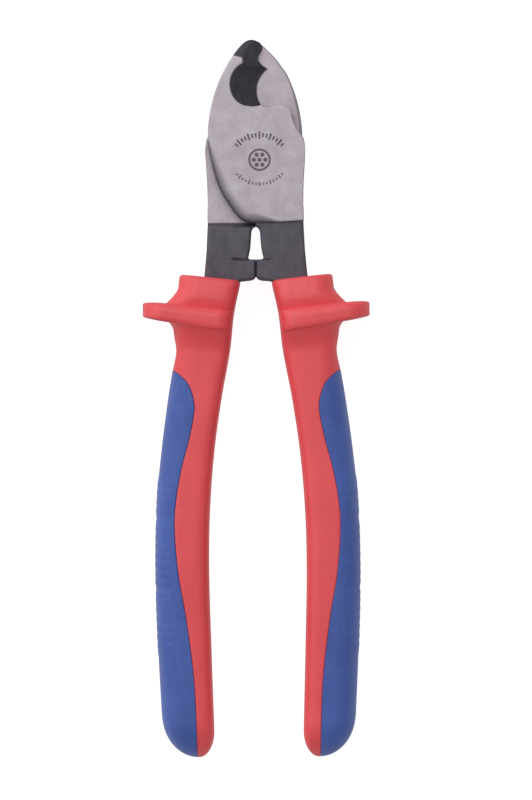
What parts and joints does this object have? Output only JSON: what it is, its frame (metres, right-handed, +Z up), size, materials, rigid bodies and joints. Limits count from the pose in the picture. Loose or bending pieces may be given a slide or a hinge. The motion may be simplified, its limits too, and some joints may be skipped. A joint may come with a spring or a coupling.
{
  "type": "cable cutter",
  "caption": "Hand cable cutter: two curved lapped blades turning on a flush rivet, with insulated two-colour grips and guards.",
  "frame": {"origin": "middle of the bounding box, on the surface that the tool lies on", "axes": "+Y along the tool from the grips to the jaws, +Z up through the tool's thickness along the rivet, +X to the right of the blade that lies on top"},
  "size_m": [0.068, 0.215, 0.028],
  "materials": {
    "forged_steel": "satin ground cheeks, black oxide tangs and bevels",
    "rivet_steel": "ground flush with the cheeks, satin",
    "hard_plastic": "moulded, semi-gloss",
    "soft_plastic": "soft overlay, fine matte, shallow cross ribs"
  },
  "bodies": {
    "root": {"rear_half": "forged_steel", "pivot_rivet": "rivet_steel", "left_grip_body": "hard_plastic", "left_grip_overlay": "soft_plastic"},
    "front": {"front_half": "forged_steel", "right_grip_body": "hard_plastic", "right_grip_overlay": "soft_plastic"}
  },
  "joints": [
    {"name": "blade_pivot", "type": "hinge", "parent": "root", "child": "front", "pos_m": [0, 0.0714, 0.014], "axis": [0, 0, 1], "range_deg": [0, 48]}
  ]
}
